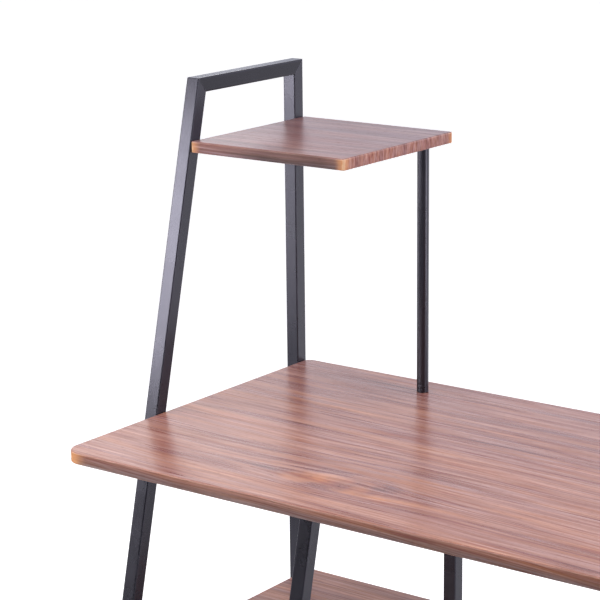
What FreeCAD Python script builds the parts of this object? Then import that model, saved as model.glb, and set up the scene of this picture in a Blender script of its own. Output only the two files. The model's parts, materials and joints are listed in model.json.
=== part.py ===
import FreeCAD, Part
import os

import Sketcher
from FreeCAD import Placement, Rotation, Vector

# Ladder desk: three mitred loop frames of square tube carry a desktop and three shelves.
# The front legs lean back, so every board further up is shallower than the one below it.
# Frame: +Z up, +X along the desktop, the user sits on the -Y side, and the origin is on
# the floor under the centre of the whole desk. Lengths are millimetres, angles degrees.

DIMENSIONS = {
    # boards
    "desktop_length": 1177.0,
    "desktop_depth": 516.0,
    "desk_height": 760.0,
    "board_thickness": 15.0,
    "desk_front_radius": 25.0,
    "desk_rear_radius": 12.0,
    "shelf_corner_radius": 3.0,
    "top_edge_radius": 1.8,
    "lower_edge_radius": 0.8,
    "bay_width": 248.5,
    "upper_shelf_recess": 2.5,
    "upper_shelf_drop": 80.5,
    "middle_shelf_height": 440.0,
    "bottom_shelf_height": 130.0,
    "shelf_rear_setback": 1.5,
    # square tube and the three loop frames
    "tube_width": 20.0,
    "tube_wall": 1.2,
    "tube_corner": 2.0,
    "lean_angle": 13.4,
    "frame_height": 1193.0,
    "front_foot_setback": 2.2,
    "rear_leg_setback": 3.5,
    "foot_clearance": 10.0,
    "right_overhang": 30.0,
    # rails between the middle and the right frame
    "rail_inset": 15.0,
    "rail_screw_inset": 215.0,
    "stretcher_height": 330.0,
    "rail_plate": 3.0,
    "rail_plate_play": 0.1,
    # round post under the upper shelf
    "post_diameter": 16.0,
    "post_wall": 1.5,
    "post_chamfer": 0.6,
    "post_side_inset": 17.1,
    "post_rear_inset": 45.2,
    "post_bush_length": 14.0,
    "post_thread": 11.0,
    "stud_reach": 8.0,
    # machine screws with a hexagon socket and a low bevelled head
    "bolt_diameter": 6.0,
    "bolt_play": 0.5,
    "thread_play": 0.1,
    "head_diameter": 10.5,
    "head_height": 3.0,
    "head_bevel": 1.2,
    "tip_chamfer": 0.6,
    "socket_width": 4.0,
    "socket_depth": 1.6,
    "bolt_spare": 6.0,
    # barrel nuts sunk in the boards
    "nut_diameter": 10.0,
    "nut_length": 11.0,
    "nut_play": 0.2,
    "nut_inset": 35.0,
    # screws that hold the desktop down, and their inserts
    "screw_diameter": 5.0,
    "screw_head": 9.0,
    "screw_head_height": 2.4,
    "screw_reach": 7.0,
    "screw_inset": 70.0,
    "insert_diameter": 8.0,
    "insert_length": 9.0,
    "washer_diameter": 18.0,
    "washer_thickness": 1.5,
    # levelling feet
    "foot_inset": 30.0,
    "pad_diameter": 24.0,
    "pad_neck_diameter": 13.0,
    "pad_rim": 4.0,
    "pad_bevel": 1.0,
    "pad_shoulder": 0.8,
    "pad_floor": 3.0,
    "pad_gap": 0.3,
    "stud_top_gap": 1.8,
    "rivet_diameter": 9.0,
    "rivet_length": 12.0,
    "rivet_flange": 0.8,
    "rivet_flange_diameter": 13.0,
}

X_AXIS = Vector(1, 0, 0)
Y_AXIS = Vector(0, 1, 0)
Z_AXIS = Vector(0, 0, 1)
LEFTWARD = Vector(-1, 0, 0)
DOWNWARD = Vector(0, 0, -1)
CYCLE_AXIS = Vector(1, 1, 1)   # a third of a turn about it takes Z to X, X to Y and Y to Z

document = FreeCAD.newDocument("LadderDesk")
sheet = document.addObject("Spreadsheet::Sheet", "Sheet")
for row, (name, value) in enumerate(DIMENSIONS.items(), start=1):
    sheet.set(f"A{row}", name)
    sheet.set(f"B{row}", str(value))
    sheet.setAlias(f"B{row}", name)
document.recompute()

subparts = []


# ---- expressions -------------------------------------------------------------------

def size(name):
    """The spreadsheet cell of a driving dimension, as an expression."""
    return f"Sheet.{name}"


def number(expression):
    """The present value of an expression."""
    return float(sheet.evalExpression(expression))


TUBE = size("tube_width")
HALF_TUBE = f"({TUBE} / 2)"
BOARD = size("board_thickness")
LEAN = size("lean_angle")
FLOOR_GAP = size("foot_clearance")
DESK_TOP = size("desk_height")
DESK_UNDER = f"({DESK_TOP} - {BOARD})"

# stations along X
LEFT_FACE = f"(({size('head_height')} - {TUBE} - {size('desktop_length')}) / 2)"
DESK_LEFT = f"({LEFT_FACE} + {TUBE})"
MIDDLE_FACE = f"({DESK_LEFT} + {size('bay_width')})"
KNEE_LEFT = f"({MIDDLE_FACE} + {TUBE})"
DESK_RIGHT = f"({DESK_LEFT} + {size('desktop_length')})"
KNEE_RIGHT = f"({DESK_RIGHT} - {size('right_overhang')} - {TUBE})"
UPPER_WIDTH = f"({size('bay_width')} - {size('upper_shelf_recess')})"
POST_X = f"({DESK_LEFT} + {UPPER_WIDTH} - {size('post_side_inset')})"

# stations along Y
DESK_FRONT = f"(-{size('desktop_depth')} / 2)"
DESK_REAR = f"({size('desktop_depth')} / 2)"
FOOT_FRONT = f"({DESK_FRONT} + {size('front_foot_setback')})"
LEG_REAR = f"({DESK_REAR} - {size('rear_leg_setback')})"
REAR_BOLT_Y = f"({LEG_REAR} - {HALF_TUBE})"
SHELF_REAR = f"({DESK_REAR} - {size('shelf_rear_setback')})"
POST_Y = f"({SHELF_REAR} - {size('post_rear_inset')})"

# stations along Z
UPPER_TOP = f"({size('frame_height')} - {size('upper_shelf_drop')})"
UPPER_UNDER = f"({UPPER_TOP} - {BOARD})"


def leg_front(height):
    """Y of the front legs' front face at a height above the floor."""
    return f"({FOOT_FRONT} + ({height} - {FLOOR_GAP}) * tan({LEAN}))"


def leg_middle(height):
    """Y of the front legs' centre line at a height above the floor."""
    return f"({leg_front(height)} + {HALF_TUBE} / cos({LEAN}))"


def leg_station(height):
    """Distance along a front leg, from its lower mitre tip, to a height of its centre line."""
    return f"(({height} - {FLOOR_GAP} + {HALF_TUBE} * sin({LEAN})) / cos({LEAN}))"


def under(height):
    """Height of the middle of a board whose top is at that height."""
    return f"({height} - {BOARD} / 2)"


# ---- sketches and features ---------------------------------------------------------

def new_body(name):
    body = document.addObject("PartDesign::Body", name)
    body.Label = name
    return body


def keep(part):
    """Mark an object as a sub-part that gets a file of its own."""
    subparts.append(part)
    return part


def place(part, x, y, z, axis=Z_AXIS, angle="0"):
    """Bind a part's place and its turn about one axis."""
    part.Placement = Placement(
        Vector(number(x), number(y), number(z)), Rotation(axis, number(angle)))
    for direction, expression in (("x", x), ("y", y), ("z", z)):
        part.setExpression(f"Placement.Base.{direction}", expression)
    if number(angle):
        part.setExpression("Placement.Rotation.Angle", angle)


def new_sketch(body, plane, offset=None):
    """A sketch on one of the body's own planes, lifted off it by an offset."""
    sketch = body.newObject("Sketcher::SketchObject", f"{body.Name}_{plane}")
    origin_plane = next(
        item for item in body.Origin.OriginFeatures if item.Role == f"{plane}_Plane")
    sketch.AttachmentSupport = [(origin_plane, "")]
    sketch.MapMode = "FlatFace"
    if offset:
        sketch.setExpression("AttachmentOffset.Base.z", offset)
    return sketch


def pin_point(sketch, geometry, vertex, x, y):
    """Hold a point of the sketch at two expressions."""
    for kind, expression in (("DistanceX", x), ("DistanceY", y)):
        constraint = Sketcher.Constraint(kind, -1, 1, geometry, vertex, number(expression))
        index = sketch.addConstraint(constraint)
        sketch.setExpression(f"Constraints[{index}]", expression)


def draw_outline(sketch, points):
    """A closed outline of straight lines through points given as expressions."""
    corners = [Vector(number(x), number(y), 0) for x, y in points]
    count = len(corners)
    first = len(sketch.Geometry)
    for index, corner in enumerate(corners):
        sketch.addGeometry(Part.LineSegment(corner, corners[(index + 1) % count]), False)
    for index in range(count):
        follower = first + (index + 1) % count
        sketch.addConstraint(Sketcher.Constraint("Coincident", first + index, 2, follower, 1))
    for index, (x, y) in enumerate(points):
        pin_point(sketch, first + index, 1, x, y)


def draw_rectangle(sketch, low_x, low_y, high_x, high_y):
    draw_outline(sketch, [(low_x, low_y), (high_x, low_y), (high_x, high_y), (low_x, high_y)])


def draw_circle(sketch, x, y, diameter):
    centre = Vector(number(x), number(y), 0)
    circle = Part.Circle(centre, Z_AXIS, number(diameter) / 2)
    geometry = sketch.addGeometry(circle, False)
    pin_point(sketch, geometry, 3, x, y)
    index = sketch.addConstraint(Sketcher.Constraint("Diameter", geometry, number(diameter)))
    sketch.setExpression(f"Constraints[{index}]", diameter)


def pad(body, sketch, length):
    feature = body.newObject("PartDesign::Pad", f"{body.Name}_pad")
    feature.Profile = sketch
    feature.setExpression("Length", length)
    document.recompute()
    return feature


def pocket(body, sketch, depth=None, reverse=False):
    """Cut a sketch out of the body: both ways through it, or one way to a depth."""
    before = body.Shape.Volume
    feature = body.newObject("PartDesign::Pocket", f"{body.Name}_pocket")
    feature.Profile = sketch
    if depth is None:
        feature.Type = "ThroughAll"
        feature.SideType = "Symmetric"
    else:
        feature.setExpression("Length", depth)
        feature.Reversed = reverse
    document.recompute()
    if not body.Shape.Volume < before:
        raise RuntimeError(f"{feature.Name} cuts nothing")
    return feature


def revolve(body, sketch):
    feature = body.newObject("PartDesign::Revolution", f"{body.Name}_turned")
    feature.Profile = sketch
    feature.ReferenceAxis = (sketch, ["V_Axis"])
    feature.Angle = 360
    document.recompute()
    return feature


def dress_edges(body, kind, setting, value, wanted):
    """Fillet or chamfer the edges of the body's last feature that a test picks out."""
    last = body.Tip
    names = [f"Edge{index}" for index, edge in enumerate(last.Shape.Edges, start=1)
             if wanted(edge)]
    feature = body.newObject(f"PartDesign::{kind}", f"{body.Name}_{kind.lower()}")
    feature.Base = (last, names)
    feature.setExpression(setting, value)
    document.recompute()
    return feature


def round_edges(body, radius, wanted):
    return dress_edges(body, "Fillet", "Radius", radius, wanted)


def chamfer_edges(body, width, wanted):
    return dress_edges(body, "Chamfer", "Size", width, wanted)


def runs_along(edge, axis):
    if not isinstance(edge.Curve, Part.Line):
        return False
    return abs(abs(edge.Curve.Direction.dot(axis)) - 1) < 1e-6


def lies_at(edge, height):
    """Whether all of an edge lies at one local height."""
    box = edge.BoundBox
    return abs(box.ZMin - height) < 1e-4 and abs(box.ZMax - height) < 1e-4


def is_rim(edge, diameter):
    """Whether an edge is a circle of that diameter."""
    return isinstance(edge.Curve, Part.Circle) and abs(2 * edge.Curve.Radius - diameter) < 1e-4


# ---- square tubes ------------------------------------------------------------------

def tube_body(name, length):
    """Square tube with round corners. It runs along local Z, its outer face is at local
    Y = 0, and local X is across it."""
    body = new_body(name)
    wall = size("tube_wall")
    section = new_sketch(body, "XY")
    draw_rectangle(section, f"-{HALF_TUBE}", "0", HALF_TUBE, TUBE)
    draw_rectangle(section, f"{wall} - {HALF_TUBE}", wall,
                   f"{HALF_TUBE} - {wall}", f"{TUBE} - {wall}")
    pad(body, section, length)
    half = number(HALF_TUBE)

    def outer(edge):
        return runs_along(edge, Z_AXIS) and abs(abs(edge.BoundBox.Center.x) - half) < 1e-4

    def inner(edge):
        inner_half = half - number(wall)
        return runs_along(edge, Z_AXIS) and abs(abs(edge.BoundBox.Center.x) - inner_half) < 1e-4

    round_edges(body, size("tube_corner"), outer)
    round_edges(body, f"max({size('tube_corner')} - {wall}; {wall} / 4)", inner)
    return body


def mitre(body, setback, length=None):
    """Saw one end of a tube on the slant: the outer face keeps its full length and the
    inner face is shorter by the setback. No length means the end at local Z = 0."""
    base = length or "0"
    into = f"-({setback})" if length else setback
    cut = new_sketch(body, "YZ")
    draw_outline(cut, [
        (f"-{TUBE}", f"{base} - ({into})"),
        (f"2 * {TUBE}", f"{base} + 2 * ({into})"),
        (f"2 * {TUBE}", f"{base} - 2 * ({into})"),
    ])
    pocket(body, cut)


def cross_holes(body, stations, diameter):
    """Round holes through both side walls of a tube, at distances along it."""
    holes = new_sketch(body, "YZ")
    for station in stations:
        draw_circle(holes, HALF_TUBE, station, diameter)
    pocket(body, holes)


def face_holes(body, stations, diameter, depth=None):
    """Round holes through the outer and the inner wall of a tube, or only to a depth."""
    holes = new_sketch(body, "XZ")
    for station in stations:
        draw_circle(holes, "0", station, diameter)
    pocket(body, holes, depth)


# ---- loop frames -------------------------------------------------------------------

BOLT_HOLE = f"({size('bolt_diameter')} + {size('bolt_play')})"
SCREW_HOLE = f"({size('screw_diameter')} + {size('bolt_play')})"
SHARP_SETBACK = f"({TUBE} / tan((90 - {LEAN}) / 2))"
BLUNT_SETBACK = f"({TUBE} / tan((90 + {LEAN}) / 2))"


FRONT_STUD_Y = f"({FOOT_FRONT} + {size('foot_inset')})"
REAR_STUD_Y = f"({LEG_REAR} - {size('foot_inset')})"
RAIL_MIDDLE_Z = f"({DESK_UNDER} - {HALF_TUBE})"
FRONT_RAIL_Y = f"({leg_front(DESK_UNDER)} + {BLUNT_SETBACK} + {size('rail_inset')})"
REAR_RAIL_Y = f"({LEG_REAR} - {TUBE} - {size('rail_inset')})"
FRONT_SCREW_Y = f"({FRONT_RAIL_Y} + {size('screw_inset')})"
REAR_SCREW_Y = f"({REAR_RAIL_Y} - {size('screw_inset')})"
SHELF_HEIGHTS = [size("middle_shelf_height"), size("bottom_shelf_height")]


def loop_frame(side, left_face, top, board_heights, under_desktop, rail_side):
    """One frame: front leg, top bar, back leg and bottom bar, mitred at all four corners.
    The corners are taken in that order, and each tube starts at its own corner."""
    middle = f"({left_face} + {HALF_TUBE})"
    rise = f"({top} - {FLOOR_GAP})"
    top_front = leg_front(top)

    front_leg = tube_body(f"{side}_front_leg", f"{rise} / cos({LEAN})")
    mitre(front_leg, SHARP_SETBACK)
    mitre(front_leg, BLUNT_SETBACK, f"{rise} / cos({LEAN})")
    if board_heights:
        cross_holes(front_leg, [leg_station(under(height)) for height in board_heights],
                    BOLT_HOLE)
    place(keep(front_leg), middle, FOOT_FRONT, FLOOR_GAP, X_AXIS, f"-{LEAN}")

    top_length = f"({LEG_REAR} - {top_front})"
    top_bar = tube_body(f"{side}_top_bar", top_length)
    mitre(top_bar, BLUNT_SETBACK)
    mitre(top_bar, TUBE, top_length)
    if under_desktop:
        face_holes(top_bar, [f"({y} - {top_front})" for y in (FRONT_SCREW_Y, REAR_SCREW_Y)],
                   SCREW_HOLE)
        cross_holes(top_bar, [f"({y} - {top_front})" for y in (FRONT_RAIL_Y, REAR_RAIL_Y)],
                    BOLT_HOLE)
    place(keep(top_bar), middle, top_front, top, X_AXIS, "-90")

    back_leg = tube_body(f"{side}_back_leg", rise)
    mitre(back_leg, TUBE)
    mitre(back_leg, TUBE, rise)
    heights = [under(height) for height in board_heights]
    if rail_side:
        heights.append(size("stretcher_height"))
    cross_holes(back_leg, [f"({top} - {height})" for height in heights], BOLT_HOLE)
    place(keep(back_leg), middle, LEG_REAR, top, X_AXIS, "180")

    bottom_length = f"({LEG_REAR} - {FOOT_FRONT})"
    bottom_bar = tube_body(f"{side}_bottom_bar", bottom_length)
    mitre(bottom_bar, TUBE)
    mitre(bottom_bar, SHARP_SETBACK, bottom_length)
    face_holes(bottom_bar, [f"({LEG_REAR} - {y})" for y in (FRONT_STUD_Y, REAR_STUD_Y)],
               size("rivet_diameter"), depth=f"2 * {size('tube_wall')}")
    place(keep(bottom_bar), middle, LEG_REAR, FLOOR_GAP, X_AXIS, "90")


loop_frame("left", LEFT_FACE, size("frame_height"), [UPPER_TOP, DESK_TOP] + SHELF_HEIGHTS,
           under_desktop=False, rail_side=False)
loop_frame("middle", MIDDLE_FACE, DESK_UNDER, SHELF_HEIGHTS, under_desktop=True, rail_side=True)
loop_frame("right", KNEE_RIGHT, DESK_UNDER, [], under_desktop=True, rail_side=True)


# ---- rails -------------------------------------------------------------------------

RAIL_LENGTH = f"({KNEE_RIGHT} - {KNEE_LEFT})"
RAIL_SCREW_STATIONS = [size("rail_screw_inset"), f"({RAIL_LENGTH} - {size('rail_screw_inset')})"]


def rail(name, y, z, screwed):
    """Square tube between the middle and the right frame. Local Y = 0 is its lower face."""
    body = tube_body(name, RAIL_LENGTH)
    if screwed:
        face_holes(body, RAIL_SCREW_STATIONS, SCREW_HOLE)
    place(keep(body), KNEE_LEFT, y, f"({z} - {HALF_TUBE})", CYCLE_AXIS, "120")


rail("front_desk_rail", FRONT_RAIL_Y, RAIL_MIDDLE_Z, screwed=True)
rail("rear_desk_rail", REAR_RAIL_Y, RAIL_MIDDLE_Z, screwed=True)
rail("rear_stretcher", REAR_BOLT_Y, size("stretcher_height"), screwed=False)


# ---- boards ------------------------------------------------------------------------

def board_body(name, length, depth, front_radius, rear_radius):
    """Flat board from local X = Y = Z = 0, with rounded corners and edges."""
    body = new_body(name)
    outline = new_sketch(body, "XY")
    draw_rectangle(outline, "0", "0", length, depth)
    pad(body, outline, BOARD)
    deep = number(depth)
    round_edges(body, front_radius,
                lambda edge: runs_along(edge, Z_AXIS) and edge.BoundBox.Center.y < deep / 2)
    round_edges(body, rear_radius,
                lambda edge: runs_along(edge, Z_AXIS) and edge.BoundBox.Center.y > deep / 2)
    round_edges(body, size("top_edge_radius"), lambda edge: lies_at(edge, number(BOARD)))
    round_edges(body, size("lower_edge_radius"), lambda edge: lies_at(edge, 0))
    return body


def end_joints(body, stations, length=None):
    """Bolt holes bored into one end of a board, and the blind holes for their nuts."""
    inset = size("nut_inset")
    bores = new_sketch(body, "YZ", offset=length)
    for station in stations:
        draw_circle(bores, station, f"{BOARD} / 2", BOLT_HOLE)
    pocket(body, bores, depth=f"{inset} + {size('nut_diameter')}", reverse=not length)
    blind = new_sketch(body, "XY")
    for station in stations:
        x = f"({length} - {inset})" if length else inset
        draw_circle(blind, x, station, f"{size('nut_diameter')} + {size('nut_play')}")
    pocket(body, blind, depth=f"({BOARD} + {size('nut_length')} + {size('nut_play')}) / 2",
           reverse=True)


def blind_holes(body, places, diameter, depth):
    """Round holes in the underside of a board."""
    holes = new_sketch(body, "XY")
    for x, y in places:
        draw_circle(holes, x, y, diameter)
    pocket(body, holes, depth=depth, reverse=True)


DESK_SCREW_PLACES = [
    (x, y)
    for x in (f"({MIDDLE_FACE} + {HALF_TUBE})", f"({KNEE_RIGHT} + {HALF_TUBE})")
    for y in (FRONT_SCREW_Y, REAR_SCREW_Y)
] + [
    (f"({KNEE_LEFT} + {station})", y)
    for station in RAIL_SCREW_STATIONS
    for y in (FRONT_RAIL_Y, REAR_RAIL_Y)
]


def desktop():
    body = board_body("desktop", size("desktop_length"), size("desktop_depth"),
                      size("desk_front_radius"), size("desk_rear_radius"))
    end_joints(body, [f"({y} - {DESK_FRONT})" for y in (leg_middle(under(DESK_TOP)), REAR_BOLT_Y)])
    blind_holes(body, [(f"({x} - {DESK_LEFT})", f"({y} - {DESK_FRONT})")
                       for x, y in DESK_SCREW_PLACES],
                size("insert_diameter"), f"{size('insert_length')} + {size('nut_play')}")
    blind_holes(body, [(f"({POST_X} - {DESK_LEFT})", f"({POST_Y} - {DESK_FRONT})")],
                SCREW_HOLE, f"2 * {BOARD}")
    place(keep(body), DESK_LEFT, DESK_FRONT, DESK_UNDER)


def shelf(name, top, width, both_ends):
    """Shelf whose front edge is flush with the leaning legs at its top face."""
    front = leg_front(top)
    body = board_body(name, width, f"({SHELF_REAR} - {front})",
                      size("shelf_corner_radius"), size("shelf_corner_radius"))
    stations = [f"({y} - {front})" for y in (leg_middle(under(top)), REAR_BOLT_Y)]
    end_joints(body, stations)
    if both_ends:
        end_joints(body, stations, width)
    else:
        blind_holes(body, [(f"({POST_X} - {DESK_LEFT})", f"({POST_Y} - {front})")],
                    size("insert_diameter"), f"{size('insert_length')} + {size('nut_play')}")
    place(keep(body), DESK_LEFT, front, f"({top} - {BOARD})")


desktop()
shelf("upper_shelf", UPPER_TOP, UPPER_WIDTH, both_ends=False)
shelf("middle_shelf", size("middle_shelf_height"), size("bay_width"), both_ends=True)
shelf("bottom_shelf", size("bottom_shelf_height"), size("bay_width"), both_ends=True)


# ---- round post --------------------------------------------------------------------

def shelf_post():
    body = new_body("shelf_post")
    ring = new_sketch(body, "XY")
    bore = f"({size('post_diameter')} - 2 * {size('post_wall')})"
    draw_circle(ring, "0", "0", size("post_diameter"))
    draw_circle(ring, "0", "0", bore)
    pad(body, ring, f"{UPPER_UNDER} - {DESK_TOP}")
    outer = number(size("post_diameter"))
    chamfer_edges(body, size("post_chamfer"), lambda edge: is_rim(edge, outer))
    place(keep(body), POST_X, POST_Y, DESK_TOP)


shelf_post()


# ---- fasteners: one master of each kind, copied to its places -----------------------

def turned_body(name, profile):
    """A master turned about local Z from a half section of (radius, height) points."""
    body = new_body(name)
    section = new_sketch(body, "XZ")
    draw_outline(section, profile)
    revolve(body, section)
    return body


def socket_screw(name, diameter, head, head_height, length):
    """Low-headed screw: the seat is at local Z = 0, the head below it, the shank above."""
    low = f"-{head_height}"
    body = turned_body(name, [
        ("0", low), (f"{head} / 2", low), (f"{head} / 2", "0"),
        (f"{diameter} / 2", "0"), (f"{diameter} / 2", length), ("0", length)])
    crown = number(low)
    tip = number(length)
    chamfer_edges(body, size("head_bevel"),
                  lambda edge: is_rim(edge, number(head)) and lies_at(edge, crown))
    chamfer_edges(body, size("tip_chamfer"),
                  lambda edge: is_rim(edge, number(diameter)) and lies_at(edge, tip))
    socket = new_sketch(body, "XY", offset=low)
    corner = f"{size('socket_width')} / 2 / cos(30)"
    draw_outline(socket, [(f"{corner} * cos({turn})", f"{corner} * sin({turn})")
                          for turn in range(0, 360, 60)])
    pocket(body, socket, depth=size("socket_depth"), reverse=True)
    return body


def copies(name, master, places):
    """One sub-part: separate copies of a master, each with its local Z turned to a
    direction and, about that, its local X to another."""
    part = document.addObject("Part::Feature", name)
    part.Label = name
    solids = []
    for position, direction, across in places:
        x, y, z = (number(expression) for expression in position)
        turn = Rotation(across, direction.cross(across), direction, "ZXY")
        solid = master.Shape.copy()
        solid.Placement = Placement(Vector(x, y, z), turn).multiply(solid.Placement)
        solids.append(solid)
    part.Shape = Part.makeCompound(solids)
    part.Placement = Placement()
    return keep(part)


BOLT = size("bolt_diameter")
SCREW = size("screw_diameter")
NUT = size("nut_diameter")
BOLT_THREAD = f"({BOLT} + {size('thread_play')})"
SCREW_THREAD = f"({SCREW} + {size('thread_play')})"
INSET = size("nut_inset")

ALL_BOARDS = [UPPER_TOP, DESK_TOP] + SHELF_HEIGHTS


def joint_places():
    """Bolt seat, bolt direction and nut place of each joint between a leg and a board."""
    bolts = []
    nuts = []
    for top in ALL_BOARDS:
        z = under(top)
        for y in (leg_middle(z), REAR_BOLT_Y):
            bolts.append(((LEFT_FACE, y, z), X_AXIS, Z_AXIS))
            nuts.append(((f"({DESK_LEFT} + {INSET})", y, z), Z_AXIS, X_AXIS))
    for top in SHELF_HEIGHTS:
        z = under(top)
        for y in (leg_middle(z), REAR_BOLT_Y):
            bolts.append(((KNEE_LEFT, y, z), LEFTWARD, Z_AXIS))
            nuts.append(((f"({MIDDLE_FACE} - {INSET})", y, z), Z_AXIS, X_AXIS))
    return bolts, nuts


def barrel_nut():
    """Cylinder centred on the origin along local Z, with a cross bore along local X."""
    body = new_body("barrel_nut")
    half = f"({size('nut_length')} / 2)"
    disc = new_sketch(body, "XY", offset=f"-{half}")
    draw_circle(disc, "0", "0", NUT)
    pad(body, disc, size("nut_length"))
    bore = new_sketch(body, "YZ")
    draw_circle(bore, "0", "0", BOLT_THREAD)
    pocket(body, bore)
    return body


def board_fasteners():
    bolts, nuts = joint_places()
    reach = f"({TUBE} + {INSET} + {NUT} / 2)"
    bolt = socket_screw("board_bolt", BOLT, size("head_diameter"), size("head_height"), reach)
    copies("board_bolts", bolt, bolts)
    copies("barrel_nuts", barrel_nut(), nuts)


def rail_end_plate():
    """Square plate welded inside the end of a rail, with a threaded bore."""
    body = new_body("rail_end_plate")
    half = f"({HALF_TUBE} - {size('tube_wall')} - {size('rail_plate_play')})"
    plate = new_sketch(body, "XY")
    draw_rectangle(plate, f"-{half}", f"-{half}", half, half)
    draw_circle(plate, "0", "0", BOLT_THREAD)
    pad(body, plate, size("rail_plate"))
    round_edges(body, size("tube_corner"),
                lambda edge: runs_along(edge, Z_AXIS))
    return body


def rail_fasteners():
    seats = []
    plates = []
    for y, z in ((FRONT_RAIL_Y, RAIL_MIDDLE_Z), (REAR_RAIL_Y, RAIL_MIDDLE_Z),
                 (REAR_BOLT_Y, size("stretcher_height"))):
        seats.append(((MIDDLE_FACE, y, z), X_AXIS, Z_AXIS))
        seats.append(((f"({KNEE_RIGHT} + {TUBE})", y, z), LEFTWARD, Z_AXIS))
        plates.append(((KNEE_LEFT, y, z), X_AXIS, Z_AXIS))
        plates.append(((KNEE_RIGHT, y, z), LEFTWARD, Z_AXIS))
    reach = f"({TUBE} + {size('rail_plate')} + {size('bolt_spare')})"
    bolt = socket_screw("rail_bolt", BOLT, size("head_diameter"), size("head_height"), reach)
    copies("rail_bolts", bolt, seats)
    copies("rail_end_plates", rail_end_plate(), plates)


def sleeve(name, outer, bore, length):
    """Plain sleeve from local Z = 0 upward."""
    return turned_body(name, [
        (f"{bore} / 2", "0"), (f"{outer} / 2", "0"),
        (f"{outer} / 2", length), (f"{bore} / 2", length)])


def plain_stud(name, diameter, low, high):
    """Headless stud between two local heights, chamfered at its upper tip."""
    body = turned_body(name, [
        ("0", low), (f"{diameter} / 2", low), (f"{diameter} / 2", high), ("0", high)])
    tip = number(high)
    chamfer_edges(body, size("tip_chamfer"),
                  lambda edge: is_rim(edge, number(diameter)) and lies_at(edge, tip))
    return body


def desktop_fasteners():
    screw_seat = f"({DESK_UNDER} - {TUBE})"
    seats = [((x, y, screw_seat), Z_AXIS, X_AXIS) for x, y in DESK_SCREW_PLACES]
    inserts = [((x, y, DESK_UNDER), Z_AXIS, X_AXIS) for x, y in DESK_SCREW_PLACES]
    screw = socket_screw("desk_screw", SCREW, size("screw_head"), size("screw_head_height"),
                         f"({TUBE} + {size('screw_reach')})")
    insert = sleeve("insert", size("insert_diameter"), SCREW_THREAD, size("insert_length"))
    copies("desktop_screws", screw, seats)
    copies("desktop_inserts", insert, inserts)
    copies("upper_shelf_insert", insert, [((POST_X, POST_Y, UPPER_UNDER), Z_AXIS, X_AXIS)])


def post_fasteners():
    """A bush in each end of the post, a screw up through the desktop and a stud on top."""
    foot = (POST_X, POST_Y, DESK_TOP)
    crown = (POST_X, POST_Y, UPPER_UNDER)
    bore = f"({size('post_diameter')} - 2 * {size('post_wall')})"
    bush = sleeve("post_bush", bore, SCREW_THREAD, size("post_bush_length"))
    copies("post_bushes", bush, [(foot, Z_AXIS, X_AXIS), (crown, DOWNWARD, X_AXIS)])
    washer = sleeve("post_washer", size("washer_diameter"), SCREW_HOLE, size("washer_thickness"))
    seat = (POST_X, POST_Y, f"({DESK_UNDER} - {size('washer_thickness')})")
    copies("post_foot_washer", washer, [(seat, Z_AXIS, X_AXIS)])
    reach = f"({size('washer_thickness')} + {BOARD} + {size('post_thread')})"
    screw = socket_screw("post_screw", SCREW, size("screw_head"), size("screw_head_height"), reach)
    copies("post_foot_screw", screw, [(seat, Z_AXIS, X_AXIS)])
    stud = plain_stud("shelf_stud", SCREW, f"-{size('post_thread')}", size("stud_reach"))
    copies("post_top_stud", stud, [(crown, Z_AXIS, X_AXIS)])


board_fasteners()
rail_fasteners()
desktop_fasteners()
post_fasteners()


# ---- levelling feet ----------------------------------------------------------------

PAD_TOP = f"({FLOOR_GAP} - {size('rivet_flange')} - {size('pad_gap')})"
FRAME_MIDDLES = {
    "left": f"({LEFT_FACE} + {HALF_TUBE})",
    "middle": f"({MIDDLE_FACE} + {HALF_TUBE})",
    "right": f"({KNEE_RIGHT} + {HALF_TUBE})",
}
STUD_YS = {"front": FRONT_STUD_Y, "back": REAR_STUD_Y}


def foot_pad(name):
    """Round plastic pad with a neck, moulded around the lower end of its stud."""
    rim = size("pad_rim")
    edge_radius = f"{size('pad_diameter')} / 2"
    neck = f"{size('pad_neck_diameter')} / 2"
    socket = f"{BOLT_THREAD} / 2"
    body = turned_body(name, [
        ("0", "0"), (edge_radius, "0"), (edge_radius, rim),
        (neck, f"{rim} + {size('pad_shoulder')}"), (neck, PAD_TOP), (socket, PAD_TOP),
        (socket, size("pad_floor")), ("0", size("pad_floor"))])
    wide = number(size("pad_diameter"))
    chamfer_edges(body, size("pad_bevel"), lambda edge: is_rim(edge, wide))
    return body


def foot_stud(name):
    """Stud that reaches up to just under the top wall of the bottom bar, which leaves
    thread in the rivet nut when the foot is right down."""
    high = f"({FLOOR_GAP} + {TUBE} - {size('tube_wall')} - {size('stud_top_gap')})"
    return plain_stud(name, BOLT, size("pad_floor"), high)


def feet():
    rivets = []
    for side, x in FRAME_MIDDLES.items():
        for end, y in STUD_YS.items():
            place(keep(foot_pad(f"{side}_{end}_foot_pad")), x, y, "0")
            place(keep(foot_stud(f"{side}_{end}_foot_stud")), x, y, "0")
            rivets.append(((x, y, FLOOR_GAP), Z_AXIS, X_AXIS))
    bore = f"{BOLT_THREAD} / 2"
    flange = f"{size('rivet_flange_diameter')} / 2"
    barrel = f"{size('rivet_diameter')} / 2"
    low = f"-{size('rivet_flange')}"
    rivet = turned_body("rivet_nut", [
        (bore, low), (flange, low), (flange, "0"), (barrel, "0"),
        (barrel, size("rivet_length")), (bore, size("rivet_length"))])
    copies("foot_rivet_nuts", rivet, rivets)


feet()


# ---- check and export --------------------------------------------------------------

def check_document():
    for item in document.Objects:
        if "Invalid" in item.State or "Error" in item.State:
            raise RuntimeError(f"{item.Name} failed: {item.State}")
    for part in subparts:
        if part.Shape.isNull() or not part.Shape.isValid() or not part.Shape.Solids:
            raise RuntimeError(f"{part.Label} has no valid solid")


def export_parts():
    os.makedirs("parts", exist_ok=True)
    for part in subparts:
        part.Shape.exportStep(f"parts/{part.Label}.step")


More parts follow.
